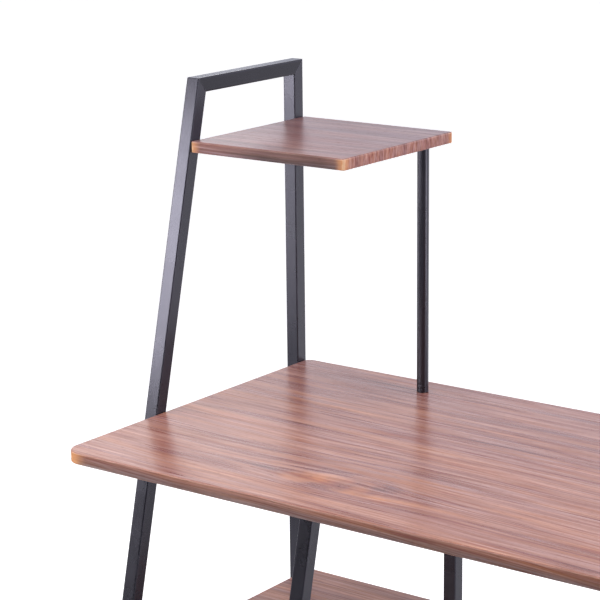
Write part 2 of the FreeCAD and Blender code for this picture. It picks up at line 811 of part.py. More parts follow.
document.recompute()
check_document()
export_parts()
whole = Part.makeCompound([part.Shape for part in subparts]).optimalBoundingBox(False)
print(f"{len(subparts)} sub-parts, {sum(len(part.Shape.Solids) for part in subparts)} solids")
print(f"x {whole.XMin:.2f} to {whole.XMax:.2f}, y {whole.YMin:.2f} to {whole.YMax:.2f}, "
      f"z {whole.ZMin:.2f} to {whole.ZMax:.2f}")
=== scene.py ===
import json
import math
import bpy
import bmesh
from mathutils import Matrix, Vector

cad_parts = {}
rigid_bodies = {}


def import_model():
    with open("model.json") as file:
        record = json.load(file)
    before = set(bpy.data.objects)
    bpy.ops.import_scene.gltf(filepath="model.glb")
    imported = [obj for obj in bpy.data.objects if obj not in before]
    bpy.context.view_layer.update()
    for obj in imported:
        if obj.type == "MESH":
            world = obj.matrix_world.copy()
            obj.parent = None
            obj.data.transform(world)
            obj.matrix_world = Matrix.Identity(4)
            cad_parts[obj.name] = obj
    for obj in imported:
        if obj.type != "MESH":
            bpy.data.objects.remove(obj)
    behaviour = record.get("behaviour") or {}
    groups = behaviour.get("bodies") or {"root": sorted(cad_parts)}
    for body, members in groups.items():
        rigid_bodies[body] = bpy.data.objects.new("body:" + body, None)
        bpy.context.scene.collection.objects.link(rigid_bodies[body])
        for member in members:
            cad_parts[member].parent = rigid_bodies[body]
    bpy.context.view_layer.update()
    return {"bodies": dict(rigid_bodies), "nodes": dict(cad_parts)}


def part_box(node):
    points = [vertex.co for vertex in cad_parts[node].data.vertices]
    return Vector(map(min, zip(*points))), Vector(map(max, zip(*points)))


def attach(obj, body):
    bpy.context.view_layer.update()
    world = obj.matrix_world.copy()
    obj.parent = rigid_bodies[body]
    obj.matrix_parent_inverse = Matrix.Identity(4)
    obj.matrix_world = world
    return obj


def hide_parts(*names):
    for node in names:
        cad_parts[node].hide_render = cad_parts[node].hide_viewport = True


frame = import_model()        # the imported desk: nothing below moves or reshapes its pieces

nodes = frame["nodes"]
print("desk loaded:", len(nodes), "nodes")


# helpers for shader trees; a range is a pair of numbers

falling = (1.0, 0.0)
white = (1.0, 1.0, 1.0)


def addNode(tree, kind, sockets=None, **settings):
    # the settings come first, because some of them change the node's sockets
    made = tree.nodes.new(kind)
    for key, value in settings.items():
        setattr(made, key, value)
    for key, value in (sockets or {}).items():
        if isinstance(value, bpy.types.NodeSocket):
            tree.links.new(value, made.inputs[key])
        else:
            made.inputs[key].default_value = value
    return made


def maths(tree, operation, first, second=0.0, third=0.0, clamp=False):
    made = addNode(tree, "ShaderNodeMath", {0: first, 1: second, 2: third},
                   operation=operation, use_clamp=clamp)
    return made.outputs[0]


def centred(tree, value, middle=0.5):
    return maths(tree, "SUBTRACT", value, middle)


def vectorMaths(tree, operation, first, second=(0.0, 0.0, 0.0)):
    made = addNode(tree, "ShaderNodeVectorMath", {0: first, 1: second}, operation=operation)
    return made.outputs[0]


def splitVector(tree, vector):
    return addNode(tree, "ShaderNodeSeparateXYZ", {0: vector}).outputs


def joinVector(tree, x, y, z):
    return addNode(tree, "ShaderNodeCombineXYZ", {0: x, 1: y, 2: z}).outputs[0]


def surfaceNormal(tree):
    return splitVector(tree, addNode(tree, "ShaderNodeNewGeometry").outputs["Normal"])


def remap(tree, value, given, wanted=(0.0, 1.0)):
    made = addNode(tree, "ShaderNodeMapRange",
                   {"Value": value, "From Min": given[0], "From Max": given[1],
                    "To Min": wanted[0], "To Max": wanted[1]}, interpolation_type="SMOOTHSTEP")
    return made.outputs["Result"]


def scaled(tree, vector, scale):
    made = addNode(tree, "ShaderNodeMapping", {"Vector": vector, "Scale": scale})
    return made.outputs["Vector"]


def noise(tree, vector, scale, detail, roughness):
    # the scale is one number, or one for each axis
    if isinstance(scale, tuple):
        vector = scaled(tree, vector, scale)
        scale = 1.0
    made = addNode(tree, "ShaderNodeTexNoise",
                   {"Vector": vector, "Scale": scale, "Detail": detail, "Roughness": roughness})
    return made.outputs["Fac"]


def mixColours(tree, share, first, second, blend="MIX"):
    # a Mix node has a socket set for each data type: its colours are 6 and 7, and 2 comes out
    made = addNode(tree, "ShaderNodeMix", data_type="RGBA", blend_type=blend)
    for index, value in ((0, share), (6, first), (7, second)):
        if isinstance(value, bpy.types.NodeSocket):
            tree.links.new(value, made.inputs[index])
        elif index == 0:
            made.inputs[index].default_value = value
        else:
            made.inputs[index].default_value = (*value, 1.0)
    return made.outputs[2]


def colourRamp(tree, value, stops):
    made = addNode(tree, "ShaderNodeValToRGB", {"Fac": value})
    marks = made.color_ramp.elements
    while len(marks) < len(stops):
        marks.new(0.5)
    for mark, (place, colour) in zip(marks, stops):
        mark.position = place
        mark.color = (*colour, 1.0)
    return made.outputs["Color"]


def startGroup(name, inputs, outputs):
    # an input whose value is a tuple is a vector
    group = bpy.data.node_groups.new(name, "ShaderNodeTree")
    for label, value in inputs.items():
        kind = "NodeSocketVector" if isinstance(value, tuple) else "NodeSocketFloat"
        socket = group.interface.new_socket(name=label, in_out="INPUT", socket_type=kind)
        socket.default_value = value
    for label, kind in outputs.items():
        group.interface.new_socket(name=label, in_out="OUTPUT", socket_type="NodeSocket" + kind)
    return group, group.nodes.new("NodeGroupInput").outputs, group.nodes.new("NodeGroupOutput")


def endGroup(group, result, values):
    for label, value in values.items():
        group.links.new(value, result.inputs[label])
    return group


def placeGroup(tree, group, sockets):
    return addNode(tree, "ShaderNodeGroup", sockets, node_tree=group).outputs


def startMaterial(name):
    material = bpy.data.materials.new(name)
    material.use_nodes = True
    tree = material.node_tree
    return material, tree, tree.nodes["Principled BSDF"]


def objectPoint(tree):
    return addNode(tree, "ShaderNodeTexCoord").outputs["Object"]


def joinShader(tree, shader, colour, roughness, bump):
    tree.links.new(colour, shader.inputs["Base Color"])
    tree.links.new(roughness, shader.inputs["Roughness"])
    tree.links.new(bump.outputs["Normal"], shader.inputs["Normal"])


def dress(nodeNames, material):
    for nodeName in nodeNames:
        slots = nodes[nodeName].data.materials
        slots.clear()
        slots.append(material)


# mottled tone and a fine skin, for paint, plastic and plating

grainShape = {
    "skinNoise": (2.0, 0.55),      # detail, roughness
    "cloudNoise": (4.0, 0.6),
    "cloudRange": (0.3, 0.7),
}


def makeSurfaceGrain(shape):
    tree, given, result = startGroup(
        "surfaceGrain", {"Point": (0.0, 0.0, 0.0), "Skin Scale": 900.0, "Cloud Scale": 9.0},
        {"Skin": "Float", "Cloud": "Float"})
    skin = noise(tree, given["Point"], given["Skin Scale"], *shape["skinNoise"])
    cloud = noise(tree, given["Point"], given["Cloud Scale"], *shape["cloudNoise"])
    return endGroup(tree, result,
                    {"Skin": skin, "Cloud": remap(tree, cloud, shape["cloudRange"])})


# faint specks and a film that settle on faces that look up

dustShape = {
    "specks": (420.0, 3.0, 0.7),   # scale, detail, roughness
    "speckRange": (0.56, 0.74),
    "film": (16.0, 3.0, 0.6),
    "filmRange": (0.35, 0.75),
    "filmShare": (0.1, 0.6),
    "upTurn": (0.4, 0.95),
}


def makeFineDust(shape):
    tree, given, result = startGroup(
        "fineDust", {"Point": (0.0, 0.0, 0.0), "Amount": 0.1}, {"Dust": "Float"})
    up = surfaceNormal(tree)["Z"]
    specks = noise(tree, given["Point"], *shape["specks"])
    film = noise(tree, given["Point"], *shape["film"])
    both = maths(tree, "ADD", remap(tree, specks, shape["speckRange"]),
                 remap(tree, film, shape["filmRange"], shape["filmShare"]))
    facing = maths(tree, "MULTIPLY", both, remap(tree, up, shape["upTurn"]))
    dust = maths(tree, "MULTIPLY", facing, given["Amount"], clamp=True)
    return endGroup(tree, result, {"Dust": dust})


# the paint runs fuller along a tube's edges, so they turn more slowly to the light

edgeTurn = (0.35, 0.80)


def makeSoftEdge(turn):
    tree, given, result = startGroup("softEdge", {"Slowing": 0.5}, {"Normal": "Vector"})
    part = surfaceNormal(tree)
    lean = maths(tree, "ABSOLUTE", part["X"])
    factor = remap(tree, lean, turn, (given["Slowing"], 1.0))
    turned = joinVector(tree, maths(tree, "MULTIPLY", part["X"], factor), part["Y"], part["Z"])
    return endGroup(tree, result, {"Normal": vectorMaths(tree, "NORMALIZE", turned)})


# long streaks along X, with one flame figure where they part round an eye

walnutShape = {
    "parting": -0.78,
    "sway": ((1.6, 2.2, 2.0), 1.0, 0.5),       # scale, detail, roughness
    "swayReach": 0.030,
    "ripple": ((7.0, 9.0, 9.0), 2.0, 0.5),
    "rippleReach": 0.0035,
    "wrapTurn": (0.3, 0.9),
    "wrapReach": 1.3,
    "layers": {
        "bands": ((0.7, 15.0, 9.0), 2.0, 0.5),
        "streaks": ((4.0, 62.0, 20.0), 2.0, 0.6),
        "lines": ((2.4, 165.0, 20.0), 2.0, 0.65),
        "hairs": ((9.0, 330.0, 60.0), 2.0, 0.6),
        "flecks": ((110.0, 640.0, 200.0), 2.0, 0.55),
        "figure": ((17.0, 44.0, 30.0), 2.0, 0.5)},
    "toneStart": 0.31,
    "toneShares": {"bands": 0.09, "streaks": 0.21, "lines": 0.05, "hairs": 0.03},
    "endTurn": (0.3, 0.8),
    "backRange": (0.0, 0.22),
    "figureMiddle": 0.46,
    "figureShare": 0.62,
    "colours": [(0.39, (0.150, 0.062, 0.064)), (0.455, (0.230, 0.095, 0.082)),
                (0.50, (0.300, 0.125, 0.096)), (0.54, (0.380, 0.160, 0.106)),
                (0.60, (0.520, 0.222, 0.122))],
    "paleShares": {"lines": (0.210, 0.155, 0.095), "hairs": (0.445, 0.420, 0.465)},
    "darkest": (0.13, 0.045, 0.038),
    "poreRange": (0.30, 0.42),
    "poreShare": 0.35,
    "poreColour": (0.085, 0.038, 0.032),
    "hairRelief": 0.72,
    "lineRelief": 0.05,
    "poreRelief": -0.08,
}


def makeWalnutGrain(shape):
    tree, given, result = startGroup(
        "walnutGrain",
        {"Point": (0.0, 0.0, 0.0), "Shift": (0.0, 0.0, 0.0), "Eye": (9.0, 9.0, 0.0),
         "Eye Length": 0.1, "Eye Width": 0.03, "Tone Shift": 0.0, "Back Shift": 0.0,
         "Slant": 0.0},
        {"Color": "Color", "Tone": "Float", "Pores": "Float", "Relief": "Float"})
    gap = splitVector(tree, vectorMaths(tree, "SUBTRACT", given["Point"], given["Eye"]))
    along = maths(tree, "POWER", maths(tree, "DIVIDE", gap["X"], given["Eye Length"]), 2.0)
    aside = maths(tree, "POWER", maths(tree, "DIVIDE", gap["Y"], given["Eye Width"]), 2.0)
    reach = maths(tree, "ADD", along, aside)
    eye = maths(tree, "EXPONENT", maths(tree, "MULTIPLY", reach, -1.0))
    parted = maths(tree, "MULTIPLY", maths(tree, "MULTIPLY", gap["Y"], eye), shape["parting"])

    # the lines' own direction: slanted, swaying, rippled and parted
    moved = vectorMaths(tree, "ADD", given["Point"], given["Shift"])
    part = splitVector(tree, moved)
    sway = centred(tree, noise(tree, moved, *shape["sway"]))
    ripple = centred(tree, noise(tree, moved, *shape["ripple"]))
    bent = maths(tree, "MULTIPLY_ADD", part["X"], given["Slant"], part["Y"])
    bent = maths(tree, "MULTIPLY_ADD", sway, shape["swayReach"], bent)
    bent = maths(tree, "MULTIPLY_ADD", ripple, shape["rippleReach"], bent)
    bent = maths(tree, "ADD", bent, parted)
    # on the long edges they run on down the face
    facing = surfaceNormal(tree)
    wrap = remap(tree, maths(tree, "ABSOLUTE", facing["Y"]), shape["wrapTurn"])
    wrapped = maths(tree, "MULTIPLY", wrap, part["Z"])
    bent = maths(tree, "MULTIPLY_ADD", wrapped, shape["wrapReach"], bent)
    line = joinVector(tree, part["X"], bent, part["Z"])
    layers = {name: noise(tree, line, *look) for name, look in shape["layers"].items()}

    # the boards' ends take no shift, and the back of a board takes its own
    onEnd = maths(tree, "ABSOLUTE", facing["X"])
    shift = maths(tree, "MULTIPLY", remap(tree, onEnd, shape["endTurn"], falling),
                  given["Tone Shift"])
    behind = remap(tree, splitVector(tree, given["Point"])["Y"], shape["backRange"])
    shift = maths(tree, "MULTIPLY_ADD", behind, given["Back Shift"], shift)
    tone = maths(tree, "ADD", shift, shape["toneStart"])
    for name, share in shape["toneShares"].items():
        tone = maths(tree, "MULTIPLY_ADD", layers[name], share, tone)
    blotches = maths(tree, "MULTIPLY", centred(tree, layers["figure"], shape["figureMiddle"]),
                     shape["figureShare"])
    tone = maths(tree, "MULTIPLY_ADD", eye, blotches, tone)

    # the fine lines are browner than the hairs, which are as good as grey
    colour = colourRamp(tree, tone, shape["colours"])
    for name, amount in shape["paleShares"].items():
        level = centred(tree, layers[name])
        paler = scaled(tree, joinVector(tree, level, level, level), amount)
        colour = vectorMaths(tree, "ADD", colour, paler)
    colour = vectorMaths(tree, "MAXIMUM", colour, shape["darkest"])
    pores = remap(tree, layers["flecks"], shape["poreRange"], falling)
    colour = mixColours(tree, maths(tree, "MULTIPLY", pores, shape["poreShare"]), colour,
                        shape["poreColour"])
    relief = maths(tree, "MULTIPLY", layers["hairs"], shape["hairRelief"])
    relief = maths(tree, "MULTIPLY_ADD", layers["lines"], shape["lineRelief"], relief)
    relief = maths(tree, "MULTIPLY_ADD", pores, shape["poreRelief"], relief)
    return endGroup(tree, result,
                    {"Color": colour, "Tone": tone, "Pores": pores, "Relief": relief})


# how near a point is to a board's upright corners and to its top and bottom rims

boardEdgeShape = {
    "wobble": (120.0, 3.0, 0.6),   # scale, detail, roughness
    "wobbleReach": 0.008,
    "sideTurn": (0.15, 0.75),
    "rimRange": (0.0002, 0.0024),
    "rimDepth": (0.4, 0.6),
    # the painted shade on sides that look forward, and along the long faces
    "shadeTurn": (0.1, 0.6),
    "shadeShare": (0.1, 1.0),
    "longTurn": (0.5, 0.9),
    "longStart": (0.006, 0.040),
    "leftRange": (-0.75, 0.1),
}


def makeBoardEdges(shape):
    tree, given, result = startGroup(
        "boardEdges",
        {"Point": (0.0, 0.0, 0.0), "Middle": (0.0, 0.0, 0.0), "Half": (0.5, 0.2, 0.01),
         "Near": 0.003, "Far": 0.012},
        {"Corner": "Float", "Side": "Float", "Rim": "Float", "Long Side": "Float",
         "Depth": "Float", "Side Shade": "Float", "Left End": "Float"})
    away = vectorMaths(tree, "SUBTRACT", given["Point"], given["Middle"])
    share = splitVector(tree, vectorMaths(tree, "DIVIDE", away, given["Half"]))
    depth = remap(tree, share["Z"], (-1.0, 1.0), falling)
    leftEnd = remap(tree, share["X"], shape["leftRange"], falling)

    # distances to the corner, in metres, with a wobble as of a hand-cut strip
    gap = vectorMaths(tree, "SUBTRACT", given["Half"], vectorMaths(tree, "ABSOLUTE", away))
    gap = splitVector(tree, gap)
    wobble = centred(tree, noise(tree, given["Point"], *shape["wobble"]))
    both = maths(tree, "ADD", gap["X"], gap["Y"])
    both = maths(tree, "MULTIPLY_ADD", wobble, shape["wobbleReach"], both)
    corner = remap(tree, both, (given["Near"], given["Far"]), falling)

    normal = surfaceNormal(tree)
    side = remap(tree, maths(tree, "ABSOLUTE", normal["Z"]), shape["sideTurn"], falling)
    rim = remap(tree, gap["Z"], shape["rimRange"], falling)
    rim = maths(tree, "MULTIPLY", rim, remap(tree, depth, shape["rimDepth"], falling))
    # masks for painted shade on sides that look forward and on the long faces, weaker towards
    # the left end
    ahead = maths(tree, "ABSOLUTE", normal["Y"])
    sideShade = maths(tree, "MULTIPLY", side, remap(tree, ahead, shape["shadeTurn"], shape["shadeShare"]))
    longSide = maths(tree, "MULTIPLY", remap(tree, ahead, shape["longTurn"]),
                     maths(tree, "SUBTRACT", 1.0, leftEnd))
    longSide = maths(tree, "MULTIPLY", longSide, remap(tree, both, shape["longStart"]))
    return endGroup(tree, result, {
        "Corner": corner, "Side": side, "Rim": rim, "Long Side": longSide, "Depth": depth,
        "Side Shade": sideShade, "Left End": leftEnd})


surfaceGrain = makeSurfaceGrain(grainShape)
fineDust = makeFineDust(dustShape)
softEdge = makeSoftEdge(edgeTurn)
walnutGrain = makeWalnutGrain(walnutShape)
boardEdges = makeBoardEdges(boardEdgeShape)
print("shared effects ready")


# satin black powder coat on the steel tube

frameFinish = {
    "colour": (0.006, 0.0057, 0.008),
    "colourHigh": (0.010, 0.0094, 0.013),
    "sheenTint": (0.83, 0.80, 1.0, 1.0),
    "gloss": 1.6,
    "roughness": (0.24, 0.30),
    "skinScale": 760.0,
    "cloudScale": 11.0,
    "skinStrength": 0.35,
    "skinHeight": 0.00008,
    "edgeSlowing": 0.45,
    "dust": 0.012,
    "dustColour": (0.42, 0.40, 0.40),
    "dustRoughness": 0.5,
}
coatChanges = {
    "powderCoat": {},
    # the ladder's top bar: its side is darker, and its top as bright as the others'
    "thinCoat": {"gloss": 1.42, "roughness": (0.16, 0.21)},
    "seamCoat": {"roughness": (0.40, 0.48)},
}


def makePowderCoat(name, finish):
    material, tree, shader = startMaterial(name)
    point = objectPoint(tree)
    grain = placeGroup(tree, surfaceGrain, {"Point": point, "Skin Scale": finish["skinScale"],
                                            "Cloud Scale": finish["cloudScale"]})
    dust = placeGroup(tree, fineDust, {"Point": point, "Amount": finish["dust"]})["Dust"]
    paint = mixColours(tree, grain["Cloud"], finish["colour"], finish["colourHigh"])
    paint = mixColours(tree, dust, paint, finish["dustColour"])
    low, high = finish["roughness"]
    rough = maths(tree, "MULTIPLY_ADD", grain["Cloud"], high - low, low)
    rough = maths(tree, "MULTIPLY_ADD", dust, finish["dustRoughness"], rough, clamp=True)
    edge = placeGroup(tree, softEdge, {"Slowing": finish["edgeSlowing"]})["Normal"]
    bump = addNode(tree, "ShaderNodeBump",
                   {"Height": grain["Skin"], "Strength": finish["skinStrength"],
                    "Distance": finish["skinHeight"], "Normal": edge})
    shader.inputs["Specular Tint"].default_value = finish["sheenTint"]
    shader.inputs["IOR"].default_value = finish["gloss"]
    joinShader(tree, shader, paint, rough, bump)
    return material


coats = {name: makePowderCoat(name, {**frameFinish, **change})
         for name, change in coatChanges.items()}
tubeNames = [name for name in nodes
             if name.endswith(("_leg", "_bar", "_rail", "_stretcher"))]
dress(tubeNames + ["shelf_post", "rail_end_plates"], coats["powderCoat"])
dress(["left_top_bar"], coats["thinCoat"])
print("frame painted:", len(tubeNames), "tubes")


# walnut foil on the boards

plainBoard = {"shift": (0.0, 0.0, 0.0), "eye": (9.0, 9.0, 0.0), "eyeLength": 0.1,
              "eyeWidth": 0.03, "near": 0.001, "far": 0.012, "tan": 0.8, "cream": 0.5,
              "longShade": 0.3, "toneShift": 0.0, "backShift": 0.0, "leftLight": 0.0,
              "slant": 0.0, "dull": 0.05}
boardChanges = {
    "desktop": {"eye": (-0.215, -0.165, 0.0), "eyeWidth": 0.034, "near": 0.014, "far": 0.040,
                "tan": 0.9, "cream": 0.0, "longShade": 0.0, "toneShift": 0.006,
                "backShift": -0.020, "slant": 0.045, "dull": 0.0},
    "upper_shelf": {"shift": (3.1, 0.47, 0.0), "near": 0.0005, "far": 0.017, "cream": 0.38,
                    "longShade": 1.0, "toneShift": -0.055, "backShift": -0.025,
                    "leftLight": 0.7, "dull": 0.02},
    "middle_shelf": {"shift": (5.7, 1.13, 0.0)},
    "bottom_shelf": {"shift": (7.9, 1.71, 0.0)},
}
foilFinish = {
    "cornerTan": (0.52, 0.22, 0.075),
    "cornerCream": (0.80, 0.60, 0.42),
    "creamStart": (0.90, 1.0),
    # colours of the painted shade on the boards' sides
    "longShadeColour": (0.60, 0.475, 0.46),
    "edgeShadeTop": (0.80, 0.74, 0.65),
    "edgeShadeFoot": (0.42, 0.56, 0.64),
    # the painted highlight along the sides' top rims
    "rimHighlightColour": (0.78, 0.60, 0.52),
    "rimHighlightShare": 0.25,
    "rimCornerHighlightShare": 0.45,
    "dust": 0.02,
    "dustColour": (0.62, 0.58, 0.55),
    "roughness": (0.24, 0.31),
    "edgeDull": 0.32,
    "poreDull": 0.12,
    "reliefDepth": 0.00012,
}


def makeWalnutFoil(boardName, place, finish):
    low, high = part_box(boardName)
    material, tree, shader = startMaterial("walnutFoil_" + boardName)
    point = objectPoint(tree)
    wood = placeGroup(tree, walnutGrain, {
        "Point": point, "Shift": place["shift"], "Eye": place["eye"],
        "Eye Length": place["eyeLength"], "Eye Width": place["eyeWidth"],
        "Tone Shift": place["toneShift"], "Back Shift": place["backShift"],
        "Slant": place["slant"]})
    edges = placeGroup(tree, boardEdges, {
        "Point": point, "Middle": tuple((low + high) / 2), "Half": tuple((high - low) / 2),
        "Near": place["near"], "Far": place["far"]})

    # painted shade: the sides are darker than the top, most of all towards their foot, and the
    # long faces are darker still; painted light lifts both towards the left end
    paintedEdgeShade = mixColours(tree, edges["Depth"], finish["edgeShadeTop"], finish["edgeShadeFoot"])
    lit = maths(tree, "MULTIPLY_ADD", edges["Left End"], -place["leftLight"], 1.0)
    sideShade = maths(tree, "MULTIPLY", edges["Side Shade"], lit)
    foil = mixColours(tree, sideShade, wood["Color"], paintedEdgeShade, "MULTIPLY")
    shade = maths(tree, "MULTIPLY", edges["Long Side"], place["longShade"])
    foil = mixColours(tree, shade, foil, finish["longShadeColour"], "MULTIPLY")
    # the bare edge strip shows tan at the corners, and cream right at the corner edge
    onSide = maths(tree, "MULTIPLY", edges["Corner"], edges["Side"])
    foil = mixColours(tree, maths(tree, "MULTIPLY", onSide, place["tan"]), foil,
                      finish["cornerTan"])
    creamEdge = remap(tree, onSide, finish["creamStart"])
    foil = mixColours(tree, maths(tree, "MULTIPLY", creamEdge, place["cream"]), foil,
                      finish["cornerCream"])
    # painted highlight: a pale line along the sides' top rim, stronger near the corners
    rimHighlight = maths(tree, "MULTIPLY_ADD", edges["Corner"], finish["rimCornerHighlightShare"],
                 finish["rimHighlightShare"])
    rimHighlight = maths(tree, "MULTIPLY", maths(tree, "MULTIPLY", edges["Rim"], edges["Side"]), rimHighlight)
    foil = mixColours(tree, rimHighlight, foil, finish["rimHighlightColour"])
    dust = placeGroup(tree, fineDust, {"Point": point, "Amount": finish["dust"]})["Dust"]
    foil = mixColours(tree, dust, foil, finish["dustColour"])

    smooth, dull = finish["roughness"]
    rough = maths(tree, "MULTIPLY_ADD", wood["Tone"], dull - smooth, smooth + place["dull"])
    rough = maths(tree, "MULTIPLY_ADD", edges["Side"], finish["edgeDull"], rough)
    rough = maths(tree, "MULTIPLY_ADD", wood["Pores"], finish["poreDull"], rough)
    bump = addNode(tree, "ShaderNodeBump", {"Height": wood["Relief"], "Strength": 1.0,
                                            "Distance": finish["reliefDepth"]})
    joinShader(tree, shader, foil, rough, bump)
    return material


for boardName, change in boardChanges.items():
    foil = makeWalnutFoil(boardName, {**plainBoard, **change}, foilFinish)
    dress([boardName], foil)
print("boards covered:", len(boardChanges))


# screws, nuts and feet

hardwareFinish = {
    "blackOxide": {"low": (0.016, 0.016, 0.018), "high": (0.034, 0.033, 0.035),
                   "metallic": 0.25, "roughness": (0.36, 0.48), "skin": 1300.0},
    "zincPlate": {"low": (0.42, 0.43, 0.44), "high": (0.62, 0.62, 0.60),
                  "metallic": 1.0, "roughness": (0.24, 0.36), "skin": 1500.0},
    "footPlastic": {"low": (0.014, 0.014, 0.015), "high": (0.026, 0.026, 0.028),
                    "metallic": 0.0, "roughness": (0.49, 0.61), "skin": 1100.0},
}
hardwareSkin = {"cloudScale": 140.0, "strength": 0.25, "height": 0.00003}


def makeHardware(name, finish, skin):
    material, tree, shader = startMaterial(name)
    grain = placeGroup(tree, surfaceGrain, {
        "Point": objectPoint(tree), "Skin Scale": finish["skin"],
        "Cloud Scale": skin["cloudScale"]})
    colour = mixColours(tree, grain["Cloud"], finish["low"], finish["high"])
    low, high = finish["roughness"]
    rough = maths(tree, "MULTIPLY_ADD", grain["Cloud"], high - low, low)
    bump = addNode(tree, "ShaderNodeBump",
                   {"Height": grain["Skin"], "Strength": skin["strength"],
                    "Distance": skin["height"]})
    shader.inputs["Metallic"].default_value = finish["metallic"]
    joinShader(tree, shader, colour, rough, bump)
    return material


hardware = {name: makeHardware(name, finish, hardwareSkin)
            for name, finish in hardwareFinish.items()}
footBodies = [body for body in frame["bodies"] if body.endswith("_foot")]
dress(["board_bolts", "rail_bolts", "desktop_screws", "post_foot_screw"],
      hardware["blackOxide"])
dress(["barrel_nuts", "desktop_inserts", "upper_shelf_insert", "foot_rivet_nuts",
       "post_foot_washer", "post_top_stud", "post_bushes"], hardware["zincPlate"])
dress([body + "_pad" for body in footBodies], hardware["footPlastic"])
dress([body + "_stud" for body in footBodies], hardware["zincPlate"])
print("hardware finished")


# ground weld seams where the tubes meet

seamShape = {
    "tube": 0.020,
    "tubeCorner": 0.002,
    "bead": 0.0007,
    "proud": 0.00025,
    "inset": 0.0004,
    "cornerSteps": 5,
    "beadSides": 8,
}
seamPlaces = ("front_foot", "front_top", "back_top", "back_foot")


def frameCorners(side):
    # outer corner points of one loop frame, in the order of seamPlaces, and its middle in X
    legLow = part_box(side + "_front_leg")[0]
    barLow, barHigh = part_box(side + "_top_bar")
    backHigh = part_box(side + "_back_leg")[1]
    points = [(legLow.y, legLow.z), (barLow.y, barHigh.z), (backHigh.y, barHigh.z),
              (backHigh.y, legLow.z)]
    return [Vector((0.0, y, z)) for y, z in points], (barLow.x + barHigh.x) / 2


def insetCorners(corners, inset):
    # the same outline, moved inwards by the tube's width
    moved = []
    count = len(corners)
    for index, corner in enumerate(corners):
        before = (corner - corners[index - 1]).normalized()
        after = (corners[(index + 1) % count] - corner).normalized()
        inward = (after - before).normalized()
        angle = before.angle(after)
        moved.append(corner + inward * inset / math.cos(angle / 2))
    return moved


def seamRing(outer, inner, middle, shape):
    # closed path round a mitre, sunk so that only a thin bead stands out
    along = inner - outer
    length = along.length
    along.normalize()
    half = shape["tube"] / 2 - shape["bead"] + shape["proud"]
    sink = (shape["bead"] - shape["proud"]) * length / shape["tube"]
    first, last = sink + shape["inset"], length - sink
    radius = shape["tubeCorner"]
    centres = [(half - radius, last - radius, 0), (-half + radius, last - radius, 90),
               (-half + radius, first + radius, 180), (half - radius, first + radius, 270)]
    path = []
    for x, distance, start in centres:
        for step in range(shape["cornerSteps"] + 1):
            angle = math.radians(start + 90 * step / shape["cornerSteps"])
            offset = distance + radius * math.sin(angle)
            path.append(Vector((middle + x + radius * math.cos(angle), 0, 0))
                        + outer + along * offset)
    return path


def placeMesh(name, mesh, material):
    data = bpy.data.meshes.new(name)
    mesh.to_mesh(data)
    mesh.free()
    data.shade_smooth()
    data.materials.append(material)
    piece = bpy.data.objects.new(name, data)
    bpy.context.scene.collection.objects.link(piece)
    return piece


def sweepRing(path, radius, sides):
    # a round bead along a closed path
    mesh = bmesh.new()
    count = len(path)
    rings = []
    out = None
    for index, point in enumerate(path):
        ahead = (path[(index + 1) % count] - path[index - 1]).normalized()
        if out is None:
            out = ahead.orthogonal().normalized()
        else:
            out = (out - ahead * out.dot(ahead)).normalized()
        turn = ahead.cross(out)
        angles = (2 * math.pi * side / sides for side in range(sides))
        rings.append([mesh.verts.new(point + radius * (out * math.cos(angle)
                                                       + turn * math.sin(angle)))
                      for angle in angles])
    # the last joint starts at the vertex that lies nearest
    nearest = min(range(sides), key=lambda side: (rings[-1][0].co - rings[0][side].co).length)
    for index, ring in enumerate(rings):
        follower = rings[(index + 1) % count]
        shift = nearest if index == count - 1 else 0
        for side in range(sides):
            after = (side + 1) % sides
            mesh.faces.new((ring[side], ring[after], follower[(after + shift) % sides],
                            follower[(side + shift) % sides]))
    bmesh.ops.recalc_face_normals(mesh, faces=mesh.faces)
    return mesh


for side in ("left", "middle", "right"):
    corners, middle = frameCorners(side)
    insides = insetCorners(corners, seamShape["tube"])
    for place, outer, inner in zip(seamPlaces, corners, insides):
        path = seamRing(outer, inner, middle, seamShape)
        bead = sweepRing(path, seamShape["bead"], seamShape["beadSides"])
        seam = placeMesh(f"{side}_{place}_weld", bead, coats["seamCoat"])
        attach(seam, "frame")
print("weld seams laid")


# threaded studs of the levelling feet

studShape = {
    "pitch": 0.001,
    "depth": 0.00035,
    "play": 0.00002,
    "footTaper": 0.5,
    "rowsPerTurn": 6,
    "sides": 20,
}


def makeThread(low, high, shape):
    middle = (low + high) / 2
    radius = (high.x - low.x) / 2
    length = high.z - low.z
    rows = round(length / shape["pitch"] * shape["rowsPerTurn"])
    mesh = bmesh.new()
    rings = []
    for row in range(rows + 1):
        z = low.z + length * row / rows
        taper = min(1.0, (high.z - z) / shape["pitch"],
                    (z - low.z) / shape["pitch"] + shape["footTaper"])
        ring = []
        for side in range(shape["sides"]):
            share = side / shape["sides"]
            phase = ((z - low.z) / shape["pitch"] - share) % 1.0
            groove = 1.0 - abs(2.0 * phase - 1.0)
            crest = radius - shape["play"] - shape["depth"] * max(groove, 1.0 - taper)
            angle = 2 * math.pi * share
            ring.append(mesh.verts.new((middle.x + crest * math.cos(angle),
                                        middle.y + crest * math.sin(angle), z)))
        rings.append(ring)
    for ring, follower in zip(rings, rings[1:]):
        for side in range(shape["sides"]):
            after = (side + 1) % shape["sides"]
            mesh.faces.new((ring[side], ring[after], follower[after], follower[side]))
    mesh.faces.new(list(reversed(rings[0])))
    mesh.faces.new(rings[-1])
    return mesh


for body in footBodies:
    studName = body + "_stud"
    low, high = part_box(studName)
    stud = placeMesh(studName + "_thread", makeThread(low, high, studShape),
                     hardware["zincPlate"])
    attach(stud, body)
    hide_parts(studName)
print("studs threaded:", len(footBodies))


# pale floor in six parts

